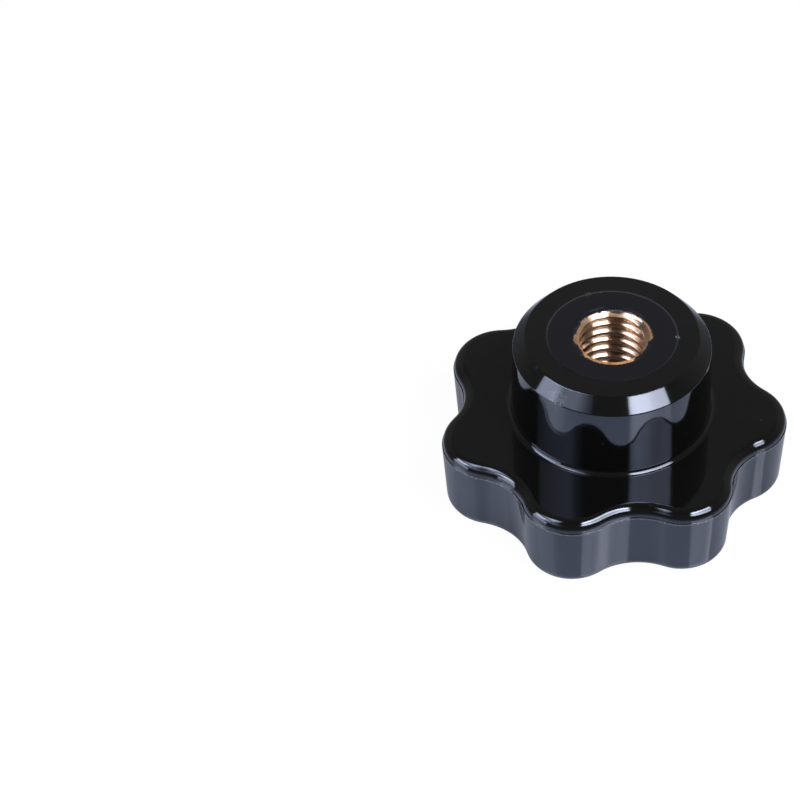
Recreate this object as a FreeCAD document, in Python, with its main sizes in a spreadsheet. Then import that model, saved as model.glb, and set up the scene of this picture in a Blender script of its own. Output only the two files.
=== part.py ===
"""Star knob: a seven-lobed moulding with a threaded metal insert moulded into its hub.

The frame is the knob's own. Its axis is Z, the grip face lies in the plane Z = 0 and the hub
points up. All sizes are in millimetres and all angles in degrees.
"""

import FreeCAD, Part
import math
import os

import Sketcher

# Each driving dimension: its name, its value and what it measures on the knob.
DRIVING_DIMENSIONS = [
    ("lobes", 7, "number of lobes of the star"),
    ("star_radius", 28.0, "axis to the tip of a lobe, at the parting line"),
    ("lobe_tip_radius", 8.0, "rounding of a lobe, seen along the axis"),
    ("valley_arc_radius", 8.9, "hollow between two lobes, seen along the axis"),
    ("plate_thickness", 13.7, "grip face to the upper face of the star"),
    ("cap_height", 1.9, "parting line of the mould to the upper face of the star"),
    ("wall_draft", 4.0, "draft of the star's wall, away from the parting line"),
    ("parting_step", 0.1, "mismatch of the two mould halves at the parting line"),
    ("grip_edge_radius", 1.9, "rounding between the grip face and the wall"),
    ("upper_edge_radius", 1.6, "rounding between the upper face and the wall"),
    ("least_flat", 0.1, "what a rounding leaves flat of its wall at least"),
    ("total_height", 28.7, "grip face to the end face of the hub"),
    ("hub_radius", 15.65, "hub at the lower edge of its chamfer"),
    ("hub_draft", 0.8, "draft of the hub's wall"),
    ("hub_foot_radius", 0.8, "hollow rounding where the hub meets the star"),
    ("chamfer_height", 2.35, "chamfer of the hub, along the axis"),
    ("chamfer_width", 1.9, "chamfer of the hub, across the axis"),
    ("chamfer_edge_radius", 0.25, "rounding of both edges of the chamfer"),
    ("witness_radius", 10.25, "circle that the mould's sleeve leaves on the end face"),
    ("witness_width", 0.24, "width of that circle's groove"),
    ("witness_depth", 0.1, "depth of that circle's groove"),
    ("recess_depth", 10.5, "grip face to the floor of the recess"),
    ("recess_ledge", 1.05, "floor of the recess beside the insert"),
    ("recess_draft", 8.4, "draft of the recess's wall"),
    ("recess_mouth_round", 0.9, "rounding of the recess's mouth"),
    ("recess_floor_round", 0.5, "rounding between the recess's wall and floor"),
    ("thread_diameter", 12.0, "nominal diameter of the metric thread"),
    ("thread_pitch", 1.75, "pitch of the thread"),
    ("insert_wall", 1.5, "insert from the thread's nominal radius to the tips of its knurl"),
    ("knurl_teeth", 41, "teeth of the straight knurl"),
    ("knurl_depth", 0.45, "depth of the knurl's notches"),
    ("knurl_land", 0.3, "width of a tooth at its tip"),
    ("groove_height", 2.4, "retaining groove in the middle of the knurl, along the axis"),
    ("groove_depth", 0.9, "retaining groove, below the tips of the knurl"),
    ("nose_wall", 0.55, "thin nose of the insert, outside the thread's nominal radius"),
    ("nose_length", 1.2, "length of that nose, which ends flush with the hub"),
    ("countersink_margin", 0.4, "countersink at the recess, outside the thread's nominal radius"),
]

# A metric internal thread is this share of its pitch deep.
THREAD_DEPTH_PER_PITCH = 0.54127

# Each derived dimension: its name and the formula by which the sheet works it out.
DERIVED_DIMENSIONS = [
    ("half_lobe_angle", "=180 / lobes"),
    ("tip_centre_radius", "=star_radius - lobe_tip_radius"),
    ("parting_height", "=plate_thickness - cap_height"),
    ("upper_tip_radius", "=lobe_tip_radius - parting_step"),
    ("upper_valley_radius", "=valley_arc_radius + parting_step"),
    ("upper_edge_round", "=min(upper_edge_radius; cap_height - least_flat)"),
    ("chamfer_start", "=total_height - chamfer_height"),
    ("hub_foot", "=hub_radius + (chamfer_start - plate_thickness) * tan(hub_draft * 1deg)"),
    ("end_face_radius", "=hub_radius - chamfer_width"),
    ("witness_inner", "=witness_radius - witness_width / 2"),
    ("witness_outer", "=witness_radius + witness_width / 2"),
    ("witness_bottom", "=total_height - witness_depth"),
    ("thread_radius", "=thread_diameter / 2"),
    ("thread_minor_radius", f"=thread_radius - {THREAD_DEPTH_PER_PITCH} * thread_pitch"),
    ("insert_radius", "=thread_radius + insert_wall"),
    ("nose_radius", "=thread_radius + nose_wall"),
    ("insert_shoulder", "=total_height - nose_length"),
    ("knurl_length", "=insert_shoulder - recess_depth"),
    ("knurl_root_radius", "=insert_radius - knurl_depth"),
    ("notch_half_width", "=(2 * pi * insert_radius / knurl_teeth - knurl_land) / 2"),
    ("notch_reach", "=insert_radius + knurl_depth"),
    ("notch_reach_width", "=2 * notch_half_width"),
    ("groove_middle", "=(recess_depth + insert_shoulder) / 2"),
    ("groove_bottom", "=groove_middle - groove_height / 2"),
    ("groove_top", "=groove_middle + groove_height / 2"),
    ("groove_radius", "=insert_radius - groove_depth"),
    ("countersink_radius", "=thread_radius + countersink_margin"),
    ("countersink_depth", "=countersink_radius - thread_minor_radius"),
    ("mouth_depth", "=thread_radius - thread_minor_radius"),
    ("recess_floor_radius", "=insert_radius + recess_ledge"),
    ("recess_mouth_radius", "=recess_floor_radius + recess_depth * tan(recess_draft * 1deg)"),
]

# How far a cutting shape stands past the face that it cuts, so that the cut is clean.
OVERRUN = 1.0

# How near an edge has to be to a plane or a radius to count as lying on it.
TOLERANCE = 1e-4

doc = FreeCAD.newDocument("StarKnob")


# Driving sheet
def make_sheet():
    """Writes every dimension into one sheet, with its name as the cell's alias."""
    sheet = doc.addObject("Spreadsheet::Sheet", "Sizes")
    row = 1
    for name, value, meaning in DRIVING_DIMENSIONS:
        sheet.set(f"A{row}", name)
        sheet.set(f"B{row}", str(value))
        sheet.set(f"C{row}", meaning)
        sheet.setAlias(f"B{row}", name)
        row += 1
    for name, formula in DERIVED_DIMENSIONS:
        sheet.set(f"A{row}", name)
        sheet.set(f"B{row}", formula)
        sheet.setAlias(f"B{row}", name)
        row += 1
    doc.recompute()
    return sheet


sizes = make_sheet()


def size(name):
    """The present value of a dimension, for the first place of a sketch's points."""
    return float(sizes.get(name))


# Helpers for bodies, sketches and features
def new_body(name):
    return doc.addObject("PartDesign::Body", name)


def origin_feature(body, role):
    """The body's own plane or axis that has this role, such as XY_Plane."""
    for feature in body.Origin.OriginFeatures:
        if feature.Role == role:
            return feature
    raise ValueError(role)


def new_sketch(body, name, plane):
    sketch = body.newObject("Sketcher::SketchObject", name)
    sketch.AttachmentSupport = [(origin_feature(body, plane), "")]
    sketch.MapMode = "FlatFace"
    return sketch


def bind_constraint(sketch, constraint, name, expression):
    """Adds a dimension to a sketch and binds its value to the sheet."""
    index = sketch.addConstraint(constraint)
    sketch.renameConstraint(index, name)
    sketch.setExpression(f"Constraints.{name}", expression)


def profile_sketch(body, name, plane, corners):
    """A closed outline of straight lines. Each corner is (label, across, along): its two
    coordinates are names of dimensions, or None on the sketch's axis."""
    sketch = new_sketch(body, name, plane)
    places = []
    for label, across, along in corners:
        u = size(across) if across else 0.0
        v = size(along) if along else 0.0
        places.append(FreeCAD.Vector(u, v, 0))
    count = len(corners)
    for i in range(count):
        sketch.addGeometry(Part.LineSegment(places[i], places[(i + 1) % count]))
    for i in range(count):
        sketch.addConstraint(Sketcher.Constraint("Coincident", i, 2, (i + 1) % count, 1))
    for i, (label, across, along) in enumerate(corners):
        if across:
            constraint = Sketcher.Constraint("DistanceX", -1, 1, i, 1, places[i].x)
            bind_constraint(sketch, constraint, f"{label}_across", f"Sizes.{across}")
        else:
            sketch.addConstraint(Sketcher.Constraint("PointOnObject", i, 1, -2))
        if along:
            constraint = Sketcher.Constraint("DistanceY", -1, 1, i, 1, places[i].y)
            bind_constraint(sketch, constraint, f"{label}_along", f"Sizes.{along}")
        else:
            sketch.addConstraint(Sketcher.Constraint("PointOnObject", i, 1, -1))
    return sketch


def turn_profile(body, kind, name, sketch):
    """Turns a profile about the knob's axis, as added or as removed material."""
    feature = body.newObject(kind, name)
    feature.Profile = sketch
    feature.ReferenceAxis = (sketch, ["V_Axis"])
    feature.Angle = 360
    doc.recompute()
    return feature


def edges_in_plane(shape, height, reach):
    """Names of the edges that lie in one level plane, no further than reach from the axis."""
    names = []
    for number, edge in enumerate(shape.Edges, start=1):
        box = edge.BoundBox
        if abs(box.ZMin - height) > TOLERANCE or abs(box.ZMax - height) > TOLERANCE:
            continue
        middle = edge.valueAt((edge.FirstParameter + edge.LastParameter) / 2)
        if math.hypot(middle.x, middle.y) <= reach + TOLERANCE:
            names.append(f"Edge{number}")
    return names


def round_edges(body, name, base, edge_names, radius):
    fillet = body.newObject("PartDesign::Fillet", name)
    fillet.Base = (base, edge_names)
    fillet.setExpression("Radius", f"Sizes.{radius}")
    doc.recompute()
    return fillet


# Star outline
def star_sketch(body, name, tip_size, valley_size):
    """The star at the parting line: one arc round each tip and one in each valley, all tangent.

    The tips' centres lie on one circle, evenly spaced. The tangents then leave one place for
    each valley's centre, which the sketch finds."""
    sketch = new_sketch(body, name, "XY_Plane")
    sketch.setExpression("AttachmentOffset.Base.z", "Sizes.parting_height")
    lobes = int(size("lobes"))
    half = math.radians(size("half_lobe_angle"))
    tip_radius = size(tip_size)
    valley_radius = size(valley_size)
    tip_centre = size("tip_centre_radius")
    across = tip_centre * math.sin(half)
    along = math.sqrt((tip_radius + valley_radius) ** 2 - across**2)
    valley_centre = tip_centre * math.cos(half) + along
    # direction of the touching point, seen from a tip's centre
    touch = math.atan2(valley_centre * math.sin(half), valley_centre * math.cos(half) - tip_centre)
    up = FreeCAD.Vector(0, 0, 1)
    for lobe in range(lobes):
        turn = 2 * half * lobe
        centre = FreeCAD.Vector(tip_centre * math.cos(turn), tip_centre * math.sin(turn), 0)
        circle = Part.Circle(centre, up, tip_radius)
        sketch.addGeometry(Part.ArcOfCircle(circle, turn - touch, turn + touch))
        bisector = turn + half
        centre = FreeCAD.Vector(valley_centre * math.cos(bisector), valley_centre * math.sin(bisector), 0)
        circle = Part.Circle(centre, up, valley_radius)
        first = turn + 2 * half - touch + math.pi
        last = turn + touch + math.pi
        sketch.addGeometry(Part.ArcOfCircle(circle, first, last))
    for lobe in range(lobes):
        tip = 2 * lobe
        valley = tip + 1
        next_tip = (tip + 2) % (2 * lobes)
        sketch.addConstraint(Sketcher.Constraint("Tangent", tip, 2, valley, 2))
        sketch.addConstraint(Sketcher.Constraint("Tangent", valley, 1, next_tip, 1))
        if lobe > 0:
            sketch.addConstraint(Sketcher.Constraint("Equal", 0, tip))
            sketch.addConstraint(Sketcher.Constraint("Equal", 1, valley))
    bind_constraint(sketch, Sketcher.Constraint("Radius", 0, tip_radius), "tip", f"Sizes.{tip_size}")
    bind_constraint(sketch, Sketcher.Constraint("Radius", 1, valley_radius), "valley", f"Sizes.{valley_size}")
    for lobe in range(lobes):
        tip = 2 * lobe
        turn = 2 * half * lobe
        angle = f"{2 * lobe} * Sizes.half_lobe_angle * 1deg"
        x = Sketcher.Constraint("DistanceX", -1, 1, tip, 3, tip_centre * math.cos(turn))
        bind_constraint(sketch, x, f"tip_{lobe}_x", f"Sizes.tip_centre_radius * cos({angle})")
        if lobe == 0:
            sketch.addConstraint(Sketcher.Constraint("PointOnObject", tip, 3, -1))
        else:
            y = Sketcher.Constraint("DistanceY", -1, 1, tip, 3, tip_centre * math.sin(turn))
            bind_constraint(sketch, y, f"tip_{lobe}_y", f"Sizes.tip_centre_radius * sin({angle})")
    return sketch


def drafted_pad(body, name, sketch, length, reverse):
    """A pad that narrows away from the parting line."""
    pad = body.newObject("PartDesign::Pad", name)
    pad.Profile = sketch
    pad.setExpression("Length", f"Sizes.{length}")
    pad.Reversed = reverse
    pad.setExpression("TaperAngle", "-Sizes.wall_draft")
    doc.recompute()
    return pad


# Moulding
def make_moulding():
    """The star, the hub and the recess, before the insert's seat is taken out."""
    body = new_body("moulding")
    lower_outline = star_sketch(body, "lower_outline", "lobe_tip_radius", "valley_arc_radius")
    drafted_pad(body, "lower_half", lower_outline, "parting_height", True)
    upper_outline = star_sketch(body, "upper_outline", "upper_tip_radius", "upper_valley_radius")
    star = drafted_pad(body, "upper_half", upper_outline, "cap_height", False)

    edges = edges_in_plane(star.Shape, 0.0, size("star_radius"))
    star = round_edges(body, "grip_edge", star, edges, "grip_edge_radius")
    edges = edges_in_plane(star.Shape, size("plate_thickness"), size("star_radius"))
    star = round_edges(body, "upper_edge", star, edges, "upper_edge_round")

    hub_profile = profile_sketch(body, "hub_profile", "XZ_Plane", [
        ("foot_centre", None, "plate_thickness"),
        ("foot", "hub_foot", "plate_thickness"),
        ("chamfer_foot", "hub_radius", "chamfer_start"),
        ("chamfer_head", "end_face_radius", "total_height"),
        ("head_centre", None, "total_height"),
    ])
    hub = turn_profile(body, "PartDesign::Revolution", "hub", hub_profile)
    edges = edges_in_plane(hub.Shape, size("plate_thickness"), size("hub_foot"))
    hub = round_edges(body, "hub_foot_round", hub, edges, "hub_foot_radius")
    edges = edges_in_plane(hub.Shape, size("chamfer_start"), size("hub_radius"))
    edges += edges_in_plane(hub.Shape, size("total_height"), size("hub_radius"))
    hub = round_edges(body, "chamfer_rounds", hub, edges, "chamfer_edge_radius")

    witness_profile = profile_sketch(body, "witness_profile", "XZ_Plane", [
        ("inner", "witness_inner", "total_height"),
        ("bottom", "witness_radius", "witness_bottom"),
        ("outer", "witness_outer", "total_height"),
    ])
    turn_profile(body, "PartDesign::Groove", "witness_circle", witness_profile)

    recess_profile = profile_sketch(body, "recess_profile", "XZ_Plane", [
        ("mouth_centre", None, None),
        ("mouth", "recess_mouth_radius", None),
        ("floor", "recess_floor_radius", "recess_depth"),
        ("floor_centre", None, "recess_depth"),
    ])
    recess = turn_profile(body, "PartDesign::Groove", "recess", recess_profile)
    edges = edges_in_plane(recess.Shape, 0.0, size("recess_mouth_radius"))
    recess = round_edges(body, "recess_mouth", recess, edges, "recess_mouth_round")
    edges = edges_in_plane(recess.Shape, size("recess_depth"), size("recess_floor_radius"))
    round_edges(body, "recess_floor", recess, edges, "recess_floor_round")
    return body


# Insert
def make_insert_blank():
    """The outer form of the insert, still without its bore: knurl, retaining groove and nose."""
    body = new_body("insert_blank")
    turned_profile = profile_sketch(body, "turned_profile", "XZ_Plane", [
        ("end_centre", None, "recess_depth"),
        ("end", "insert_radius", "recess_depth"),
        ("groove_in", "insert_radius", "groove_bottom"),
        ("groove_low", "groove_radius", "groove_bottom"),
        ("groove_high", "groove_radius", "groove_top"),
        ("groove_out", "insert_radius", "groove_top"),
        ("shoulder", "insert_radius", "insert_shoulder"),
        ("nose_foot", "nose_radius", "insert_shoulder"),
        ("nose_end", "nose_radius", "total_height"),
        ("nose_centre", None, "total_height"),
    ])
    turned = turn_profile(body, "PartDesign::Revolution", "turned_form", turned_profile)

    # one V notch beyond the tooth tips on both sides, repeated round the axis
    notch_profile = new_sketch(body, "notch_profile", "XY_Plane")
    notch_profile.setExpression("AttachmentOffset.Base.z", "Sizes.recess_depth")
    root = FreeCAD.Vector(size("knurl_root_radius"), 0, 0)
    left = FreeCAD.Vector(size("notch_reach"), size("notch_reach_width"), 0)
    right = FreeCAD.Vector(size("notch_reach"), -size("notch_reach_width"), 0)
    notch_profile.addGeometry(Part.LineSegment(root, left))
    notch_profile.addGeometry(Part.LineSegment(left, right))
    notch_profile.addGeometry(Part.LineSegment(right, root))
    for line in range(3):
        notch_profile.addConstraint(Sketcher.Constraint("Coincident", line, 2, (line + 1) % 3, 1))
    notch_profile.addConstraint(Sketcher.Constraint("PointOnObject", 0, 1, -1))
    depth = Sketcher.Constraint("DistanceX", -1, 1, 0, 1, root.x)
    bind_constraint(notch_profile, depth, "root", "Sizes.knurl_root_radius")
    reach = Sketcher.Constraint("DistanceX", -1, 1, 1, 1, left.x)
    bind_constraint(notch_profile, reach, "reach", "Sizes.notch_reach")
    upper = Sketcher.Constraint("DistanceY", -1, 1, 1, 1, left.y)
    bind_constraint(notch_profile, upper, "half_width", "Sizes.notch_reach_width")
    notch_profile.addConstraint(Sketcher.Constraint("Symmetric", 1, 1, 1, 2, -1))

    notch = body.newObject("PartDesign::Pocket", "notch")
    notch.Profile = notch_profile
    notch.setExpression("Length", "Sizes.knurl_length")
    notch.Reversed = True
    doc.recompute()
    if not notch.Shape.Volume < turned.Shape.Volume:
        raise RuntimeError("the knurl's notch cuts nothing")

    knurl = body.newObject("PartDesign::PolarPattern", "knurl")
    knurl.Originals = [notch]
    knurl.Axis = (origin_feature(body, "Z_Axis"), [""])
    knurl.Angle = 360
    knurl.setExpression("Occurrences", "Sizes.knurl_teeth")
    body.Tip = knurl
    doc.recompute()
    return body


def make_countersink(name, lower_radius, upper_radius, foot, height):
    """A cone round the axis, which opens one end of the bore at 45 degrees to it."""
    cone = doc.addObject("Part::Cone", name)
    cone.setExpression("Radius1", lower_radius)
    cone.setExpression("Radius2", upper_radius)
    cone.setExpression("Placement.Base.z", foot)
    cone.setExpression("Height", height)
    return cone


def make_bore():
    """The shape that the bore takes out of the insert: the thread's minor diameter right through,
    a countersink at the recess and a smaller one, of the thread's nominal diameter, at the hub."""
    bore = doc.addObject("Part::Cylinder", "bore")
    bore.setExpression("Radius", "Sizes.thread_minor_radius")
    bore.setExpression("Height", f"Sizes.total_height - Sizes.recess_depth + 2 * {OVERRUN}")
    bore.setExpression("Placement.Base.z", f"Sizes.recess_depth - {OVERRUN}")
    recess_end = make_countersink(
        "recess_countersink",
        lower_radius=f"Sizes.countersink_radius + {OVERRUN}",
        upper_radius="Sizes.thread_minor_radius",
        foot=f"Sizes.recess_depth - {OVERRUN}",
        height=f"Sizes.countersink_depth + {OVERRUN}",
    )
    hub_end = make_countersink(
        "hub_countersink",
        lower_radius="Sizes.thread_minor_radius",
        upper_radius=f"Sizes.thread_radius + {OVERRUN}",
        foot="Sizes.total_height - Sizes.mouth_depth",
        height=f"Sizes.mouth_depth + {OVERRUN}",
    )
    through = doc.addObject("Part::MultiFuse", "through_bore")
    through.Shapes = [bore, recess_end, hub_end]
    return through


# Sub-parts
def make_cut(label, base, tool):
    """A sub-part: one shape less another."""
    part = doc.addObject("Part::Cut", label)
    part.Base = base
    part.Tool = tool
    part.Label = label
    return part


moulding = make_moulding()
insert_blank = make_insert_blank()
knob_body = make_cut("knob_body", moulding, insert_blank)
threaded_insert = make_cut("threaded_insert", insert_blank, make_bore())
SUB_PARTS = [knob_body, threaded_insert]
doc.recompute()


# Checks and files
def check_document():
    """Stops if a feature failed, a sketch is left loose or a sub-part isn't one valid solid."""
    for item in doc.Objects:
        if "Invalid" in item.State or "Error" in item.State:
            raise RuntimeError(f"{item.Name} failed: {item.State}")
        if item.TypeId == "Sketcher::SketchObject" and not item.FullyConstrained:
            raise RuntimeError(f"{item.Name} isn't fully constrained")
    for part in SUB_PARTS:
        shape = part.Shape
        if shape.isNull() or not shape.isValid() or len(shape.Solids) != 1:
            raise RuntimeError(f"{part.Label} isn't one valid solid")


check_document()
os.makedirs("parts", exist_ok=True)
for part in SUB_PARTS:
    box = part.Shape.BoundBox
    part.Shape.exportStep(os.path.join("parts", f"{part.Label}.step"))
    print(f"{part.Label}: volume {part.Shape.Volume:.1f} mm3, {len(part.Shape.Faces)} faces,",
          f"X {box.XMin:.2f} to {box.XMax:.2f}, Y {box.YMin:.2f} to {box.YMax:.2f},",
          f"Z {box.ZMin:.2f} to {box.ZMax:.2f}")
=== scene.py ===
# %% [markdown]
# # A star knob with a brass thread
# A clamping knob stands on a white sheet with its hub up. The black moulding comes from the CAD
# model as it is. The brass insert is made again here, because its thread is too fine for the CAD
# model, and so is the thin flash that the moulding leaves on the rim of the brass.

# %% Load the frame
import math

import bmesh
import bpy
import numpy as np
from mathutils import Matrix, Vector


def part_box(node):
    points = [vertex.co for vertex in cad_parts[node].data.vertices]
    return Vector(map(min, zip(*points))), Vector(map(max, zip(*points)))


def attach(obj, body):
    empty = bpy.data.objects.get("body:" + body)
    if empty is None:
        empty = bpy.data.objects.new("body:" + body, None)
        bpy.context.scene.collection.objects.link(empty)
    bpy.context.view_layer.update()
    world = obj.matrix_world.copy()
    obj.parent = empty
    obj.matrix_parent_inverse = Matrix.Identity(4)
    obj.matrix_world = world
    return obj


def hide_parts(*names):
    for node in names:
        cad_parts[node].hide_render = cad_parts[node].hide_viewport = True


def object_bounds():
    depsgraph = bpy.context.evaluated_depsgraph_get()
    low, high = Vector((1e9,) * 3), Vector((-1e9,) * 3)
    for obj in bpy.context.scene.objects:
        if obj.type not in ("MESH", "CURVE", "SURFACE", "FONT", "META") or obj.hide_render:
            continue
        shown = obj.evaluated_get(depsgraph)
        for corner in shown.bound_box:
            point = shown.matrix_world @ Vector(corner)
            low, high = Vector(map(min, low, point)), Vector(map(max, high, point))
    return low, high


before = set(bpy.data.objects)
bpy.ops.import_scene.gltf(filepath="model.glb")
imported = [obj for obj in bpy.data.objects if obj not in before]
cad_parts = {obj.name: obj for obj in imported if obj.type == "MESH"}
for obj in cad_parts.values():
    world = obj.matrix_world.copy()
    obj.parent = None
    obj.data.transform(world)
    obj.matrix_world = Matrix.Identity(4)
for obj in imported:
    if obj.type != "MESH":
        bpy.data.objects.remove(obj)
cad_box = [list(corner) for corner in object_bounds()]
MM = 0.001
insert_low, insert_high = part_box("threaded_insert")
print("CAD box in mm", [[round(value / MM, 2) for value in corner] for corner in cad_box])
print("insert from", round(insert_low.z / MM, 2), "to", round(insert_high.z / MM, 2), "mm")

# %% [markdown]
# ## The camera
# A product photographer uses a long lens from some way off, so that a round thing stays round.
# The camera looks down at 44 degrees and a little from the right. Its place is worked out from
# three directions, which keeps the tilt, the distance and the framing as separate numbers.

# %% Camera
CAMERA_AZIMUTH = math.radians(7.53)
CAMERA_ELEVATION = math.radians(44.22)
CAMERA_ROLL = math.radians(-1.40)
CAMERA_DISTANCE = 705.12 * MM
KNOB_RIGHT_OF_MIDDLE = 33.724 * MM
KNOB_BELOW_MIDDLE = 10.523 * MM

towards_camera = Vector((
    math.sin(CAMERA_AZIMUTH) * math.cos(CAMERA_ELEVATION),
    -math.cos(CAMERA_AZIMUTH) * math.cos(CAMERA_ELEVATION),
    math.sin(CAMERA_ELEVATION),
))
level_right = Vector((math.cos(CAMERA_AZIMUTH), math.sin(CAMERA_AZIMUTH), 0))
level_up = towards_camera.cross(level_right)
image_right = math.cos(CAMERA_ROLL) * level_right + math.sin(CAMERA_ROLL) * level_up
image_up = math.cos(CAMERA_ROLL) * level_up - math.sin(CAMERA_ROLL) * level_right

camera_place = CAMERA_DISTANCE * towards_camera
camera_place += KNOB_BELOW_MIDDLE * image_up - KNOB_RIGHT_OF_MIDDLE * image_right
camera_data = bpy.data.cameras.new("camera")
camera_data.sensor_width = 36
camera_data.lens = 196.97
camera = bpy.data.objects.new("camera", camera_data)
turn = Matrix((image_right, image_up, towards_camera)).transposed()
camera.matrix_world = Matrix.Translation(camera_place) @ turn.to_4x4()
bpy.context.collection.objects.link(camera)
bpy.context.scene.camera = camera
bpy.context.scene.view_settings.view_transform = "Standard"
print("camera at", [round(value / MM, 1) for value in camera_place], "mm")

# %% [markdown]
# ## Helpers for materials
# Colours are written as they look on a screen and turned into the linear values that a renderer
# adds up. Every node is made by one function, which takes the node's settings and its inputs, so
# that a material reads as a list of steps. An input is named, or counted where Blender gives two
# inputs the same name: a Math node has 0 and 1, and a Mix node has the factor 0, and then 2 and 3
# for two numbers or 6 and 7 for two colours.

# %% Colour and node helpers
def colour(hex_code, alpha=1.0):
    """The linear colour of an sRGB hex value: a channel c up to 0.04045 is divided by 12.92, and
    a higher one is (c + 0.055) / 1.055 to the power of 2.4."""
    channels = [int(hex_code[i:i + 2], 16) / 255 for i in (1, 3, 5)]
    linear = [c / 12.92 if c <= 0.04045 else ((c + 0.055) / 1.055) ** 2.4 for c in channels]
    return (*linear, alpha)


def add_node(tree, kind, inputs=None, **settings):
    """Adds a node with its settings. An input is a value, or the socket that it is linked to."""
    node = tree.nodes.new(kind)
    for name, value in settings.items():
        setattr(node, name, value)
    for name, value in (inputs or {}).items():
        if isinstance(value, bpy.types.NodeSocket):
            tree.links.new(value, node.inputs[name])
        else:
            node.inputs[name].default_value = value
    return node


def new_material(name):
    """An empty material with its output node."""
    material = bpy.data.materials.new(name)
    material.use_nodes = True
    material.node_tree.nodes.clear()
    output = material.node_tree.nodes.new("ShaderNodeOutputMaterial")
    return material, material.node_tree, output


print("a grey of #808080 is", round(colour("#808080")[0], 3), "in linear light")

# %% [markdown]
# ## From a grid of points to a mesh
# Both new pieces are closed surfaces of revolution whose radius changes on the way round. Such a
# surface is a grid: one direction runs round the axis and the other runs round the cross-section.
# numpy works out all points at once. Points that fall together, at the seam and where a row is cut
# off by an end face, are merged afterwards. Edges that turn by more than 35 degrees stay sharp.

# %% Grid to mesh
SHARP_TURN = math.radians(35)
MERGE_DISTANCE = 0.0005 * MM


def closed_ring_mesh(name, x, y, z, rim=None):
    """A mesh from a grid of points in mm. Rows run round the cross-section and close on the first
    row. Columns run round the axis, and the last column repeats the first. Every cell (i, j) is a
    face of the points (i, j), (i, j+1), (i+1, j+1) and (i+1, j). rim is stored as an attribute."""
    rows, columns = x.shape
    points = np.stack([x, y, z], axis=-1).reshape(-1, 3) * MM
    row, column = np.meshgrid(np.arange(rows), np.arange(columns - 1), indexing="ij")
    below = (row + 1) % rows
    corners = [row * columns + column, row * columns + column + 1]
    corners += [below * columns + column + 1, below * columns + column]
    faces = np.stack(corners, axis=-1).reshape(-1, 4)
    mesh = bpy.data.meshes.new(name)
    mesh.from_pydata(points.tolist(), [], faces.tolist())
    if rim is not None:
        mesh.attributes.new("rim", "FLOAT", "POINT").data.foreach_set("value", rim.ravel())
    work = bmesh.new()
    work.from_mesh(mesh)
    bmesh.ops.remove_doubles(work, verts=work.verts, dist=MERGE_DISTANCE)
    bmesh.ops.dissolve_degenerate(work, edges=work.edges, dist=MERGE_DISTANCE)
    bmesh.ops.recalc_face_normals(work, faces=work.faces)
    work.to_mesh(mesh)
    work.free()
    mesh.polygons.foreach_set("use_smooth", np.ones(len(mesh.polygons), dtype=bool))
    mesh.set_sharp_from_angle(angle=SHARP_TURN)
    piece = bpy.data.objects.new(name, mesh)
    bpy.context.collection.objects.link(piece)
    print(name, "has", len(mesh.polygons), "faces")
    return piece


# %% [markdown]
# ## The thread
# The bore has a metric thread, M12 with a pitch of 1.75 mm. Seen in section its groove is a
# trapezium with flanks at 60 degrees to each other and a root an eighth of a pitch wide. The hole
# was drilled 10.4 mm wide before it was tapped, near the upper limit, as brass allows, so the
# crests are a third of a pitch wide. A screw modifier or a section swept along a helix could make
# it, but here the radius depends on one number only, the phase, which counts pitches along the
# axis and drops by one on each turn round it. So a formula gives the helix without any path. A tap
# leaves slightly blunt corners, and those catch the light. Edges and blunting are in pitches.

# %% Thread profile
PITCH = 1.75
THREAD_RADIUS = 6.0
CREST_RADIUS = 5.2
ROOT_EDGE = 7 / 16
CREST_EDGE = ROOT_EDGE - (THREAD_RADIUS - CREST_RADIUS) * math.tan(math.radians(30)) / PITCH
THREAD_START = 0.628
CREST_BLUNT = 0.025
ROOT_BLUNT = 0.035


def soft_ramp(x, blunt):
    """0 below zero and x above it, with a parabola of that half width instead of the corner."""
    rounded = (x + blunt) ** 2 / (4 * blunt)
    return np.where(x < -blunt, 0, np.where(x > blunt, x, rounded))


def thread_radius(height, angle):
    """Radius of the thread in mm. The phase is height / pitch - angle / turn - start, and its
    distance from the nearest whole number, 0 at a crest and 0.5 at a root, gives the radius: the
    crest radius plus a slope that starts at the crest's edge and ends at the root's edge."""
    phase = height / PITCH - angle / (2 * np.pi) - THREAD_START
    distance = np.abs(phase - np.round(phase))
    slope = (THREAD_RADIUS - CREST_RADIUS) / (ROOT_EDGE - CREST_EDGE)
    rise = soft_ramp(distance - CREST_EDGE, CREST_BLUNT) - soft_ramp(distance - ROOT_EDGE, ROOT_BLUNT)
    return CREST_RADIUS + slope * rise


print("thread from radius", CREST_RADIUS, "to", THREAD_RADIUS, "mm")
print("a crest is", round(2 * CREST_EDGE * PITCH, 2), "mm wide and a root", PITCH / 8)

# %% [markdown]
# ## The knurl
# A straight knurl keeps the insert from turning in the moulding. It is rolled: 41 V notches with a
# narrow land between them. The columns of the grid stand at the notches' corners and middles, so
# that the teeth are sharp with few faces.

# %% Columns round the insert
KNURL_TEETH = 41
KNURL_RADIUS = 7.5
KNURL_ROOT = 7.05
KNURL_LAND = 0.3
notch_half_width = (2 * math.pi * KNURL_RADIUS / KNURL_TEETH - KNURL_LAND) / 2
notch_slope = notch_half_width / (KNURL_RADIUS - KNURL_ROOT)


def knurl_radius(angle):
    """Radius of the knurl in mm. In a notch it is the straight flank from the root, in polar form
    slope * root / (slope * cos(a) - sin(a)) with a the angle from the notch's middle, and on a
    land it is the insert's radius."""
    step = 2 * np.pi / KNURL_TEETH
    away = np.abs(angle - step * np.round(angle / step))
    flank = notch_slope * KNURL_ROOT / (notch_slope * np.cos(away) - np.sin(away))
    return np.minimum(KNURL_RADIUS, flank)


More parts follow.
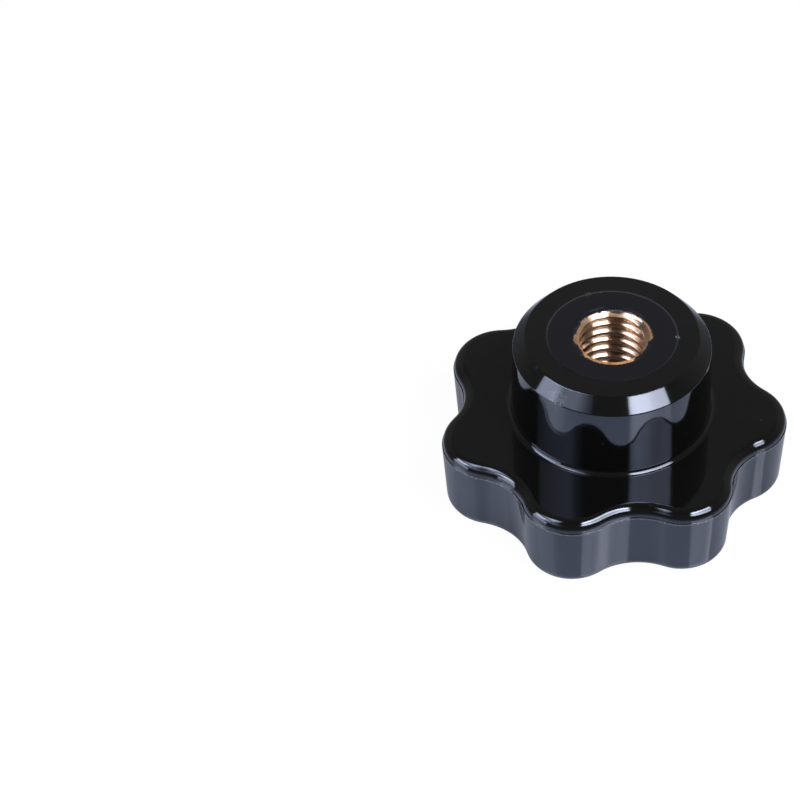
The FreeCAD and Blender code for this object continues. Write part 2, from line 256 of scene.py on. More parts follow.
samples = np.linspace(0, np.pi / KNURL_TEETH, 2001)
corner = samples[np.argmax(knurl_radius(samples) >= KNURL_RADIUS - 1e-6)]
in_notch = np.array([0, corner / 2, corner, np.pi / KNURL_TEETH])
in_notch = np.append(in_notch, 2 * np.pi / KNURL_TEETH - in_notch[[2, 1]])
notches = 2 * np.pi / KNURL_TEETH * np.arange(KNURL_TEETH)
around = np.append((notches[:, None] + in_notch[None, :]).ravel(), 2 * np.pi)
print(len(around), "columns, a notch is", round(math.degrees(2 * corner), 2), "degrees wide")

# %% [markdown]
# ## The insert
# The insert was turned from brass bar, knurled, grooved and tapped right through. Each end of the
# bore is countersunk, so the thread fades out in a cone. In the grid, one row follows each corner
# of the thread's section all the way along its helix, and rows that would leave the insert are held
# at its end faces, where they fall together and are merged. The radius in the bore is the larger
# one of the thread and the two cones.

# %% Insert
BOTTOM = insert_low.z / MM
TOP = insert_high.z / MM
FLASH_THICKNESS = 0.04
BRASS_TOP = TOP - FLASH_THICKNESS
NOSE_RADIUS = 6.55
NOSE_LENGTH = 1.2
SHOULDER = TOP - NOSE_LENGTH
GROOVE_RADIUS = 6.6
GROOVE_WIDTH = 2.4
GROOVE_LOW = (BOTTOM + SHOULDER - GROOVE_WIDTH) / 2
GROOVE_HIGH = (BOTTOM + SHOULDER + GROOVE_WIDTH) / 2
RECESS_CONE = 6.4
CONE_WAVES = 0.008
CONE_STAIN = 0.4


def rough_edge(angle, seed, waves, height):
    """A wavy line round the axis: a sum of sines of whole numbers of waves, of random strength
    and phase from a fixed seed, so that it closes on itself."""
    random = np.random.default_rng(seed)
    strength = random.uniform(0.3, 1.0, len(waves))
    shift = random.uniform(0, 2 * np.pi, len(waves))
    line = np.zeros_like(angle)
    for wave, strong, start in zip(waves, strength, shift):
        line = line + strong * np.sin(wave * angle + start)
    return height * line / np.sqrt(np.sum(strength ** 2))


def make_insert():
    """The closed surface of the insert, as rows of points round its section. Outside, a row is a
    corner of the turned shape. In the bore, a row has one phase and climbs a pitch on its way
    round, and its radius is the largest of the thread, 6 mm less the depth under the hub's end
    for one cone, and 6.4 mm less the height over the other end for the other."""
    knurl = knurl_radius(around)
    even = np.ones_like(around)
    outer = [
        (knurl, BOTTOM), (knurl, GROOVE_LOW), (GROOVE_RADIUS * even, GROOVE_LOW),
        (GROOVE_RADIUS * even, GROOVE_HIGH), (knurl, GROOVE_HIGH), (knurl, SHOULDER),
        (NOSE_RADIUS * even, SHOULDER), (NOSE_RADIUS * even, BRASS_TOP),
        (6.3 * even, BRASS_TOP), (6.12 * even, BRASS_TOP),  # two more rows on the end face
    ]
    outer_radius = np.stack([radius for radius, _ in outer])
    outer_height = np.stack([height * even for _, height in outer])

    # one row for each bend of the thread's section, in every turn, from the top down
    bends = np.array([0, 0.10, 0.15, 0.165, 0.18, 0.20, 0.26, 0.33, 0.40, 0.42, 0.44, 0.475])
    bends = np.concatenate([-bends[:0:-1], bends, [0.5]])
    turns = np.arange(math.floor(BOTTOM / PITCH) - 3, math.ceil(TOP / PITCH) + 2)
    phase = np.sort((turns[:, None] + bends[None, :]).ravel())[::-1]
    height = PITCH * (phase[:, None] + THREAD_START + around[None, :] / (2 * np.pi))
    height = np.clip(height, BOTTOM, BRASS_TOP)
    hub_cone = THREAD_RADIUS - (TOP - height) + rough_edge(around, 3, range(5, 30, 6), CONE_WAVES)
    recess_cone = RECESS_CONE - (height - BOTTOM)
    thread = thread_radius(height, around[None, :])
    radius = np.maximum(thread, np.maximum(hub_cone, recess_cone))
    on_cone = CONE_STAIN * np.clip((hub_cone - thread) / 0.04, 0, 1)

    radius = np.concatenate([outer_radius, radius])
    height = np.concatenate([outer_height, height])
    rim = np.concatenate([np.ones_like(outer_radius), on_cone])
    x = radius * np.cos(around)
    y = radius * np.sin(around)
    return closed_ring_mesh("brass_insert", x, y, height, rim=rim)


brass_insert = make_insert()
print("insert", round(TOP - BOTTOM, 2), "mm long, groove from", GROOVE_LOW, "to", GROOVE_HIGH)
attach(brass_insert, "root")
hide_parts("threaded_insert")

# %% [markdown]
# ## Flash on the rim of the brass
# In the mould the insert sits on a pin, and a little resin creeps over its end face before it sets.
# That leaves a skin with a ragged edge. The brass lies a little off the middle of the hub, so the
# skin is wider on one side, and in three places a tongue of it reaches over the countersink. It is
# a flat ring whose inner radius is a circle off the centre, less the tongues, plus a fine ripple.

# %% Mouth flash
BRASS_CIRCLE = 6.2
BRASS_OFFSET = 0.39
BRASS_OFFSET_ANGLE = math.radians(-62)
# each tongue: the middle and half width of its arc in degrees, and how far it reaches in mm
TONGUES = [(-145, 12, 0.38), (-27, 25, 0.62), (168, 13, 0.26)]


def flash_edge(angle):
    """Radius in mm of the ragged inner edge. The circle about a point at distance c gives
    c * cos(a) + sqrt(R^2 - c^2 * sin(a)^2); each tongue takes off its reach times a smooth step at
    both ends of its arc."""
    away = angle - BRASS_OFFSET_ANGLE
    edge = BRASS_OFFSET * np.cos(away)
    edge = edge + np.sqrt(BRASS_CIRCLE ** 2 - (BRASS_OFFSET * np.sin(away)) ** 2)
    for middle, half_width, reach in TONGUES:
        turn = np.degrees(angle) - middle
        turn = np.abs(turn - 360 * np.round(turn / 360))
        fade = np.clip((half_width + 5 - turn) / 10, 0, 1)
        edge = edge - reach * fade ** 2 * (3 - 2 * fade)
    edge = edge + rough_edge(angle, 7, range(5, 60, 6), 0.05)
    edge = edge + rough_edge(angle, 11, range(61, 131, 7), 0.06)
    return np.minimum(edge, NOSE_RADIUS - 0.02)


def make_flash():
    """The closed surface of the flash: its top lies in the hub's end plane, and its underside on
    the end face and the cone of the brass. The first three rows round its inner edge."""
    angle = np.linspace(0, 2 * np.pi, 721)
    edge = flash_edge(angle)
    even = np.ones_like(angle)
    cone_mouth = THREAD_RADIUS - (TOP - BRASS_TOP)
    section = [
        (edge, TOP - 0.025 * even),
        (edge + 0.012, TOP - 0.006 * even),
        (edge + 0.03, TOP * even),
        (NOSE_RADIUS * even, TOP * even),
        (NOSE_RADIUS * even, BRASS_TOP * even),
        (np.maximum(edge, cone_mouth), BRASS_TOP * even),
        (edge, BRASS_TOP - np.maximum(0, cone_mouth - edge)),
    ]
    radius = np.stack([r for r, _ in section])
    height = np.stack([z for _, z in section])
    return closed_ring_mesh("mouth_flash", radius * np.cos(angle), radius * np.sin(angle), height)


mouth_flash = make_flash()
flash_reach = NOSE_RADIUS - flash_edge(np.radians(np.arange(360)))
print("flash from", round(flash_reach.min(), 2), "to", round(flash_reach.max(), 2), "mm wide")
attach(mouth_flash, "root")

# %% [markdown]
# ## Brass
# The insert is free-cutting brass, turned and tapped. The tool drags fine lines round the bore, and
# they spread each mirrored lamp up and down the flank, but hardly sideways. A shader does that with
# anisotropy, whose direction is given by the tangent: here the way round the axis, turned by a
# quarter. Coarser lines, which the eye can count, are a bump. The end face is duller and stained,
# because it was burnt in the mould and has a smear of resin on it, and the far end face, in the
# recess, has turned olive. The rim attribute says how far a place is stained: 1 on the outside,
# 0.4 on the hub's cone, 0 in the thread.
#
# Three noises carry all this. Their scale is one over a length, because the object is in metres.

# %% Stains, grains and tool lines
STAIN_SIZE = 0.45 * MM
GRAIN_SIZE = 0.15 * MM
TOOL_LINE_SPACING = 0.17 * MM


def brass_patterns(tree, place):
    """Stains of about half a millimetre, grains of a seventh, which is as fine as shows here, and
    tool lines: noise that is stretched flat, so that it runs round the bore."""
    stain = add_node(tree, "ShaderNodeTexNoise", {
        "Vector": place, "Scale": 1 / STAIN_SIZE, "Detail": 4.0, "Roughness": 0.65})
    grain = add_node(tree, "ShaderNodeTexNoise", {
        "Vector": place, "Scale": 1 / GRAIN_SIZE, "Detail": 2.0})
    flat = add_node(tree, "ShaderNodeMapping", {"Vector": place, "Scale": (0.08, 0.08, 1.0)})
    lines = add_node(tree, "ShaderNodeTexNoise", {
        "Vector": flat.outputs[0], "Scale": 1 / TOOL_LINE_SPACING, "Detail": 3.0, "Roughness": 0.6})
    return stain.outputs["Fac"], grain.outputs["Fac"], lines.outputs["Fac"]


print("about", round((TOP - BOTTOM) * MM / TOOL_LINE_SPACING), "tool lines along the bore")

# %% [markdown]
# ## The colour of the brass
# Freshly cut brass is a pale gold. The crests of the thread and its deep turns are darkened with
# painted shade: the crests are known by their radius, the turns by their height. A metal's base colour
# is the colour of its mirror image, so the darker places also mirror less.

# %% Brass colour
# painted shade: the bore darkens from the upper of these heights down to the lower, and stays dark
# below
SHADE_TOP = TOP - 4
SHADE_BOTTOM = TOP - 9


def brass_colour(tree, place, rim, stain, lines):
    """Pale gold with lines, mixed with painted shade on the crests and the deep turns, with stains by
    the rim attribute, and with olive on the face in the recess, which is all that lies below its
    height."""
    height = add_node(tree, "ShaderNodeSeparateXYZ", {0: place}).outputs["Z"]
    level = add_node(tree, "ShaderNodeVectorMath", {0: place, 1: (1, 1, 0)}, operation="MULTIPLY")
    radius = add_node(tree, "ShaderNodeVectorMath", {0: level.outputs[0]}, operation="LENGTH")
    bright = add_node(tree, "ShaderNodeMix", {
        0: lines, 6: colour("#DEB898"), 7: colour("#FBECDE")}, data_type="RGBA")

    # painted shade on the crests of the thread, found by their radius
    crest = add_node(tree, "ShaderNodeMapRange", {
        "Value": radius.outputs["Value"], "From Min": (CREST_RADIUS + 0.02) * MM,
        "From Max": (CREST_RADIUS + 0.07) * MM, "To Min": 0.4, "To Max": 0.0})
    depth = add_node(tree, "ShaderNodeMapRange", {
        "Value": height, "From Min": SHADE_BOTTOM * MM, "From Max": SHADE_TOP * MM,
        "To Min": 0.12, "To Max": 0.0})
    painted_shade = add_node(tree, "ShaderNodeMath", {
        0: crest.outputs[0], 1: depth.outputs[0]}, operation="MAXIMUM")
    # the brass is darkened towards this brown by the painted shade
    tint = add_node(tree, "ShaderNodeMix", {
        0: painted_shade.outputs[0], 6: bright.outputs[2], 7: colour("#845C3E")}, data_type="RGBA")

    patches = add_node(tree, "ShaderNodeMapRange", {"Value": stain, "From Min": 0.35, "From Max": 0.65})
    stained = add_node(tree, "ShaderNodeMix", {
        0: patches.outputs[0], 6: colour("#94683C"), 7: colour("#E8B680")}, data_type="RGBA")
    tint = add_node(tree, "ShaderNodeMix", {
        0: rim, 6: tint.outputs[2], 7: stained.outputs[2]}, data_type="RGBA")
    far_face = add_node(tree, "ShaderNodeMath", {
        0: height, 1: (BOTTOM + 0.02) * MM}, operation="LESS_THAN")
    tint = add_node(tree, "ShaderNodeMix", {
        0: far_face.outputs[0], 6: tint.outputs[2], 7: colour("#7A6A3A")}, data_type="RGBA")
    return tint.outputs[2]


print("painted shade in the bore from", round(SHADE_TOP, 1), "mm down to", round(SHADE_BOTTOM, 1), "mm")

# %% [markdown]
# ## The finish of the brass
# A tapped thread is smooth between its tool lines and a burnt face is matt. The smear of resin on
# the faces isn't metal, so they count as metal only in part.

# %% Brass roughness and bump
BORE_ROUGHNESS = (0.16, 0.26)
FACE_ROUGHNESS = (0.40, 0.60)
TOOL_LINE_HEIGHT = 0.026 * MM
GRAIN_HEIGHT = 0.06 * MM


def brass_roughness(tree, rim, stain, lines):
    """Between the bore's two values by the tool lines, and the faces' two by the stains."""
    bore = add_node(tree, "ShaderNodeMapRange", {
        "Value": lines, "From Min": 0.3, "From Max": 0.7,
        "To Min": BORE_ROUGHNESS[0], "To Max": BORE_ROUGHNESS[1]})
    face = add_node(tree, "ShaderNodeMapRange", {
        "Value": stain, "From Min": 0.3, "From Max": 0.7,
        "To Min": FACE_ROUGHNESS[0], "To Max": FACE_ROUGHNESS[1]})
    rough = add_node(tree, "ShaderNodeMix", {0: rim, 2: bore.outputs[0], 3: face.outputs[0]})
    return rough.outputs[0]


def brass_bump(tree, rim, grain, lines):
    """Tool lines everywhere, and grains in step with the rim attribute."""
    line_bump = add_node(tree, "ShaderNodeBump", {
        "Height": lines, "Strength": 1.0, "Distance": TOOL_LINE_HEIGHT})
    grains = add_node(tree, "ShaderNodeMath", {0: grain, 1: rim}, operation="MULTIPLY")
    grain_bump = add_node(tree, "ShaderNodeBump", {
        "Height": grains.outputs[0], "Normal": line_bump.outputs[0],
        "Strength": 1.0, "Distance": GRAIN_HEIGHT})
    return grain_bump.outputs[0]


print("tool lines up to", round(TOOL_LINE_HEIGHT / MM * 1000), "microns high")

# %% Turned brass material
def make_brass():
    """Turned free-cutting brass, bright in the thread and stained on its faces. The tangent is the
    axis crossed with the place, which is the way round the axis."""
    material, tree, output = new_material("turned_brass")
    place = add_node(tree, "ShaderNodeTexCoord").outputs["Object"]
    rim = add_node(tree, "ShaderNodeAttribute", attribute_name="rim").outputs["Fac"]
    stain, grain, lines = brass_patterns(tree, place)
    metal = add_node(tree, "ShaderNodeMapRange", {"Value": rim, "To Min": 1.0, "To Max": 0.6})
    around_axis = add_node(tree, "ShaderNodeVectorMath", {
        0: (0, 0, 1), 1: place}, operation="CROSS_PRODUCT")
    around_axis = add_node(tree, "ShaderNodeVectorMath", {
        0: around_axis.outputs[0]}, operation="NORMALIZE")
    shader = add_node(tree, "ShaderNodeBsdfPrincipled", {
        "Base Color": brass_colour(tree, place, rim, stain, lines), "Metallic": metal.outputs[0],
        "Roughness": brass_roughness(tree, rim, stain, lines), "Anisotropic": 0.9,
        "Anisotropic Rotation": 0.25, "Tangent": around_axis.outputs[0],
        "Normal": brass_bump(tree, rim, grain, lines)})
    tree.links.new(shader.outputs[0], output.inputs["Surface"])
    return material


turned_brass = make_brass()
brass_insert.data.materials.append(turned_brass)
print("turned brass has", len(turned_brass.node_tree.nodes), "nodes")

# %% [markdown]
# ## Phenolic
# The knob is a black phenolic moulding, pressed in a polished steel mould. Its colour is almost
# nothing: what the eye sees is gloss, so the base is near black and the roughness low. The gloss of
# this resin is a little blue. A real moulding shows more, and the next cells add it: scuffs and
# chips, the circle of the sleeve that ejects the part, the parting line, dust, and the relief of
# the mould. Each is placed in millimetres of the object, and each helper returns a mask from 0 to 1
# or a normal.
#
# Handling has scuffed the hub's chamfer and chipped the sleeve's circle. Such marks sit at chosen
# places, but their outline is left to noise.

# %% Worn places
# each worn place: its middle and reach in mm, and how pale it is
WORN = [
    ((-7.4, -13.1, 26.9), 3.0, 0.10),
    ((-4.6, 9.2, 28.7), 0.9, 0.12),
    ((-2.6, 9.9, 28.7), 0.5, 0.12),
    ((10.2, 0.7, 28.7), 0.7, 0.5),
    ((-11.2, -8.1, 28.5), 0.45, 0.05),
]


def worn_places(tree, place):
    """Scuffs and chips: noise of a third of a millimetre, cut off at a level, and kept near the
    worn places only. The result is how pale a point is."""
    crumbs = add_node(tree, "ShaderNodeTexNoise", {
        "Vector": place, "Scale": 1 / (0.33 * MM), "Detail": 4.0, "Roughness": 0.7})
    palest = None
    for middle, reach, pale in WORN:
        away = add_node(tree, "ShaderNodeVectorMath", {
            0: place, 1: tuple(value * MM for value in middle)}, operation="DISTANCE")
        near = add_node(tree, "ShaderNodeMapRange", {
            "Value": away.outputs["Value"], "From Min": 0.4 * reach * MM, "From Max": reach * MM,
            "To Min": 0.42, "To Max": 0.75})
        level = add_node(tree, "ShaderNodeMath", {
            0: crumbs.outputs["Fac"], 1: near.outputs[0]}, operation="SUBTRACT")
        spot = add_node(tree, "ShaderNodeMapRange", {
            "Value": level.outputs[0], "From Min": 0.0, "From Max": 0.14, "To Max": pale})
        if palest is not None:
            spot = add_node(tree, "ShaderNodeMath", {
                0: palest, 1: spot.outputs[0]}, operation="MAXIMUM")
        palest = spot.outputs[0]
    return palest


print(len(WORN), "worn places")

# %% [markdown]
# ## The sleeve's circle
# A sleeve round the insert pushes the part out of the mould. It leaves a hazier disc inside its
# circle and a fine groove round it. The groove is rough, mirrors little, and is paler towards the
# back.

# %% Sleeve circle
WITNESS_RADIUS = 10.25
WITNESS_WIDTH = 0.13


def sleeve_circle(tree, place):
    """Three masks on the hub's end face: the disc within the circle, the groove on it, and how
    pale the groove is. Width here is from the circle to the groove's edge."""
    split = add_node(tree, "ShaderNodeSeparateXYZ", {0: place})
    level = add_node(tree, "ShaderNodeVectorMath", {0: place, 1: (1, 1, 0)}, operation="MULTIPLY")
    radius = add_node(tree, "ShaderNodeVectorMath", {0: level.outputs[0]}, operation="LENGTH")
    on_end = add_node(tree, "ShaderNodeMath", {
        0: split.outputs["Z"], 1: (TOP - 0.15) * MM}, operation="GREATER_THAN")
    inside = add_node(tree, "ShaderNodeMath", {
        0: radius.outputs["Value"], 1: WITNESS_RADIUS * MM}, operation="LESS_THAN")
    disc = add_node(tree, "ShaderNodeMath", {
        0: on_end.outputs[0], 1: inside.outputs[0]}, operation="MULTIPLY")

    away = add_node(tree, "ShaderNodeMath", {
        0: radius.outputs["Value"], 1: WITNESS_RADIUS * MM}, operation="SUBTRACT")
    away = add_node(tree, "ShaderNodeMath", {0: away.outputs[0]}, operation="ABSOLUTE")
    groove = add_node(tree, "ShaderNodeMapRange", {
        "Value": away.outputs[0], "From Min": WITNESS_WIDTH * MM,
        "From Max": (WITNESS_WIDTH + 0.03) * MM, "To Min": 1.0, "To Max": 0.0})
    groove = add_node(tree, "ShaderNodeMath", {
        0: groove.outputs[0], 1: on_end.outputs[0]}, operation="MULTIPLY")
    # the groove gets paler towards the back, from y = -8 mm to 1 mm
    back_side = add_node(tree, "ShaderNodeMapRange", {
        "Value": split.outputs["Y"], "From Min": -8 * MM, "From Max": 1 * MM,
        "To Min": 0.0, "To Max": 0.075})
    pale = add_node(tree, "ShaderNodeMath", {
        0: groove.outputs[0], 1: back_side.outputs[0]}, operation="MULTIPLY")
    return disc.outputs[0], groove.outputs[0], pale.outputs[0]


print("sleeve circle", 2 * WITNESS_RADIUS, "mm across")

# %% [markdown]
# ## The parting line and dust
# Where the halves of the mould meet, flash was trimmed off, and that leaves a soft pale band with
# brighter crumbs. Dust is a few specks: a Voronoi pattern gives one possible speck in each cell of
# 1.6 mm, and the cell's random colour says whether it is kept, which is so in one cell of seven.

# %% Parting line and dust
PARTING_HEIGHT = 11.6
DUST_CELL = 1.6 * MM


def parting_line(tree, place):
    """A band 0.5 mm high, fading from its middle, times noise of half a millimetre."""
    height = add_node(tree, "ShaderNodeSeparateXYZ", {0: place}).outputs["Z"]
    away = add_node(tree, "ShaderNodeMath", {0: height, 1: PARTING_HEIGHT * MM}, operation="SUBTRACT")
    away = add_node(tree, "ShaderNodeMath", {0: away.outputs[0]}, operation="ABSOLUTE")
    band = add_node(tree, "ShaderNodeMapRange", {
        "Value": away.outputs[0], "From Min": 0.05 * MM, "From Max": 0.25 * MM,
        "To Min": 1.0, "To Max": 0.0})
    crumbs = add_node(tree, "ShaderNodeTexNoise", {
        "Vector": place, "Scale": 1 / (0.5 * MM), "Detail": 3.0, "Roughness": 0.6})
    crumbs = add_node(tree, "ShaderNodeMapRange", {
        "Value": crumbs.outputs["Fac"], "From Min": 0.52, "From Max": 0.72,
        "To Min": 0.15, "To Max": 0.5})
    trimmed = add_node(tree, "ShaderNodeMath", {
        0: band.outputs[0], 1: crumbs.outputs[0]}, operation="MULTIPLY")
    return trimmed.outputs[0]


def dust_specks(tree, place):
    """A speck of a twentieth of a cell round each kept point, and at most 0.3 pale."""
    cells = add_node(tree, "ShaderNodeTexVoronoi", {
        "Vector": place, "Scale": 1 / DUST_CELL, "Randomness": 1.0})
    speck = add_node(tree, "ShaderNodeMapRange", {
        "Value": cells.outputs["Distance"], "From Min": 0.03, "From Max": 0.07,
        "To Min": 1.0, "To Max": 0.0})
    chosen = add_node(tree, "ShaderNodeSeparateColor", {0: cells.outputs["Color"]})
    kept = add_node(tree, "ShaderNodeMapRange", {
        "Value": chosen.outputs[0], "From Min": 0.86, "From Max": 1.0,
        "To Min": 0.0, "To Max": 0.3})
    dust = add_node(tree, "ShaderNodeMath", {
        0: speck.outputs[0], 1: kept.outputs[0]}, operation="MULTIPLY")
    return dust.outputs[0]


print("parting line at", PARTING_HEIGHT, "mm")

# %% [markdown]
# ## The relief of the mould
# The walls carry faint upright lines from the mould, the broad faces are slightly wavy, and every
# corner is rounded by a fifth of a millimetre. The Bevel node rounds the corners in the shading,
# which leaves the CAD mesh alone, and two bumps of a few microns add the rest.

# %% Mould relief
CORNER_RADIUS = 0.2 * MM
MOULD_LINE_SPACING = 1.3 * MM
MOULD_LINE_HEIGHT = 0.003 * MM
WAVE_LENGTH = 6 * MM
WAVE_HEIGHT = 0.012 * MM


def mould_relief(tree, place):
    """The normal of rounded corners, with upright lines where the face is upright, and waves
    everywhere."""
    corners = add_node(tree, "ShaderNodeBevel", {"Radius": CORNER_RADIUS}, samples=6)
    facing = add_node(tree, "ShaderNodeNewGeometry").outputs["Normal"]
    facing = add_node(tree, "ShaderNodeSeparateXYZ", {0: facing}).outputs["Z"]
    facing = add_node(tree, "ShaderNodeMath", {0: facing}, operation="ABSOLUTE")
    on_wall = add_node(tree, "ShaderNodeMapRange", {
        "Value": facing.outputs[0], "From Min": 0.1, "From Max": 0.3, "To Min": 1.0, "To Max": 0.0})

    tall = add_node(tree, "ShaderNodeMapping", {"Vector": place, "Scale": (1.0, 1.0, 0.04)})
    lines = add_node(tree, "ShaderNodeTexNoise", {
        "Vector": tall.outputs[0], "Scale": 1 / MOULD_LINE_SPACING, "Detail": 3.0})
    lines = add_node(tree, "ShaderNodeMath", {
        0: lines.outputs["Fac"], 1: on_wall.outputs[0]}, operation="MULTIPLY")
    line_bump = add_node(tree, "ShaderNodeBump", {
        "Height": lines.outputs[0], "Normal": corners.outputs[0],
        "Strength": 1.0, "Distance": MOULD_LINE_HEIGHT})
    waves = add_node(tree, "ShaderNodeTexNoise", {
        "Vector": place, "Scale": 1 / WAVE_LENGTH, "Detail": 1.0})
    wave_bump = add_node(tree, "ShaderNodeBump", {
        "Height": waves.outputs["Fac"], "Normal": line_bump.outputs[0],
        "Strength": 1.0, "Distance": WAVE_HEIGHT})
    return wave_bump.outputs[0]


print("mould lines", round(MOULD_LINE_HEIGHT / MM * 1000), "microns high")

# %% [markdown]
# ## The phenolic put together
# The marks are pale and rough, so one mask, the strongest of them, gives both. The groove is the
# only place where the specular level is lowered, because light gets lost in it.

# %% Phenolic material
GLOSS_ROUGHNESS = 0.07
HAZE_ROUGHNESS = 0.16
GROOVE_ROUGHNESS = 0.6


def make_phenolic():
    """Black phenolic, compression moulded and trimmed."""
    material, tree, output = new_material("moulded_phenolic")
    place = add_node(tree, "ShaderNodeTexCoord").outputs["Object"]
    disc, groove, marks = sleeve_circle(tree, place)
    for mask in (parting_line(tree, place), dust_specks(tree, place), worn_places(tree, place)):
        marks = add_node(tree, "ShaderNodeMath", {0: marks, 1: mask}, operation="MAXIMUM").outputs[0]
    base = add_node(tree, "ShaderNodeMix", {
        0: disc, 6: colour("#090909"), 7: colour("#0E0E14")}, data_type="RGBA")
    tint = add_node(tree, "ShaderNodeMix", {
        0: marks, 6: base.outputs[2], 7: colour("#9AA0A4")}, data_type="RGBA")

    rough = add_node(tree, "ShaderNodeMapRange", {
        "Value": disc, "To Min": GLOSS_ROUGHNESS, "To Max": HAZE_ROUGHNESS})
    rough = add_node(tree, "ShaderNodeMath", {0: rough.outputs[0], 1: marks}, operation="ADD")
    groove_rough = add_node(tree, "ShaderNodeMath", {
        0: groove, 1: GROOVE_ROUGHNESS}, operation="MULTIPLY")
    rough = add_node(tree, "ShaderNodeMath", {
        0: rough.outputs[0], 1: groove_rough.outputs[0]}, operation="MAXIMUM")
    gloss = add_node(tree, "ShaderNodeMapRange", {"Value": groove, "To Min": 0.5, "To Max": 0.06})
    shader = add_node(tree, "ShaderNodeBsdfPrincipled", {
        "Base Color": tint.outputs[2], "Roughness": rough.outputs[0], "IOR": 1.8,
        "Specular IOR Level": gloss.outputs[0], "Specular Tint": (0.72, 0.80, 1.0, 1),
        "Normal": mould_relief(tree, place)})
    tree.links.new(shader.outputs[0], output.inputs["Surface"])
    return material


moulded_phenolic = make_phenolic()
knob_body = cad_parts["knob_body"]
for material_slot in knob_body.material_slots:
    material_slot.material = moulded_phenolic
mouth_flash.data.materials.append(moulded_phenolic)
print("phenolic has", len(moulded_phenolic.node_tree.nodes), "nodes")

# %% [markdown]
# ## The white sheet
# The knob stands on a sheet of glossy white acrylic, which the gloss of the walls mirrors. To the
# camera it is plain white, with a trace of the lit sheet left in it, so that the knob keeps its
# faint shadow. To reflections it is the lit sheet itself with some glowing white added, and both
# are painted light: the sheet's colour and the glow are brightest near the knob and fade away
# from it. It lies a hair under the knob, so that the two don't share a plane.

# %% Floor
FLOOR_HALF_WIDTH = 4.0
FLOOR_GAP = 0.02 * MM


def flat_square(name, half_width, height):
    """A square in the plane of that height."""
    corners = [(-half_width, -half_width, height), (half_width, -half_width, height)]
    corners += [(half_width, half_width, height), (-half_width, half_width, height)]
    mesh = bpy.data.meshes.new(name)
    mesh.from_pydata(corners, [], [(0, 1, 2, 3)])
    square = bpy.data.objects.new(name, mesh)
    bpy.context.collection.objects.link(square)
    return square


def make_acrylic():
    """Cast white acrylic sheet under studio light, with a painted pool of light round the knob."""
    material, tree, output = new_material("white_acrylic")
    place = add_node(tree, "ShaderNodeTexCoord")
    distance = add_node(tree, "ShaderNodeVectorMath", {0: place.outputs["Object"]}, operation="LENGTH")
    # painted light: a pool of light round the knob, fading from 30 to 82 mm away
    fade = add_node(tree, "ShaderNodeMapRange", {
        "Value": distance.outputs["Value"], "From Min": 30 * MM, "From Max": 82 * MM,
        "To Min": 1.0, "To Max": 0.15}, interpolation_type="SMOOTHSTEP")
    ray = add_node(tree, "ShaderNodeLightPath")
    sheet = add_node(tree, "ShaderNodeMix", {
        0: fade.outputs[0], 6: (0, 0, 0, 1), 7: colour("#B4BED8")}, data_type="RGBA")
    sheet = add_node(tree, "ShaderNodeMix", {
        0: ray.outputs["Is Camera Ray"], 6: sheet.outputs[2], 7: colour("#FFFFFF")}, data_type="RGBA")
    lit = add_node(tree, "ShaderNodeBsdfPrincipled", {
        "Base Color": sheet.outputs[2], "Roughness": 0.09, "IOR": 1.9})
    white = add_node(tree, "ShaderNodeEmission", {"Color": (1, 1, 1, 1), "Strength": 1.0})
    # painted light: a white glow that only reflections see, strongest near the knob
    mirrored = add_node(tree, "ShaderNodeMath", {
        0: ray.outputs["Is Glossy Ray"], 1: ray.outputs["Is Transmission Ray"]}, operation="ADD")
    mirrored = add_node(tree, "ShaderNodeMath", {
        0: mirrored.outputs[0], 1: fade.outputs[0]}, operation="MULTIPLY")
    mirrored = add_node(tree, "ShaderNodeMath", {0: mirrored.outputs[0], 1: 0.2}, operation="MULTIPLY")
    seen = add_node(tree, "ShaderNodeMath", {
        0: ray.outputs["Is Camera Ray"], 1: 0.97}, operation="MULTIPLY")
    share = add_node(tree, "ShaderNodeMath", {
        0: seen.outputs[0], 1: mirrored.outputs[0]}, operation="ADD")
    mixed = add_node(tree, "ShaderNodeMixShader", {
        0: share.outputs[0], 1: lit.outputs[0], 2: white.outputs[0]})
    tree.links.new(mixed.outputs[0], output.inputs["Surface"])
    return material


floor = flat_square("floor", FLOOR_HALF_WIDTH, cad_box[0][2] - FLOOR_GAP)
floor.data.materials.append(make_acrylic())
print("floor at", round(floor.data.vertices[0].co.z / MM, 3), "mm")

# %% [markdown]
# ## The lamps
# The key is a tall softbox at the right, a little in front. At the left stands a bank of three
# weaker boxes, one above the other, with a bright tube between them. Their edges show as hard edges
# in the gloss, so each is a glowing sheet in the right direction, given by the directions of its
# four corners as the knob sees them. A mesh does this better than a lamp, since its brightness can
# change across it and up it. The camera doesn't see them.

# %% Softboxes
def direction(azimuth, elevation):
    """Unit vector to a place in the studio. Azimuth 0 is the camera's side, 90 is the right."""
    a, e = math.radians(azimuth), math.radians(elevation)
    return Vector((math.sin(a) * math.cos(e), -math.cos(a) * math.cos(e), math.sin(e)))


def add_ramp(tree, value, stops):
    """A colour ramp from pairs of place and grey."""
    ramp = add_node(tree, "ShaderNodeValToRGB", {0: value})
    elements = ramp.color_ramp.elements
    for index, (where, grey) in enumerate(stops):
        stop = elements[index] if index < 2 else elements.new(where)
        stop.position = where
        stop.color = (grey, grey, grey, 1)
    return ramp.outputs[0]


STUDIO_RADIUS = 0.9
EVEN = [(0.0, 1.0), (1.0, 1.0)]


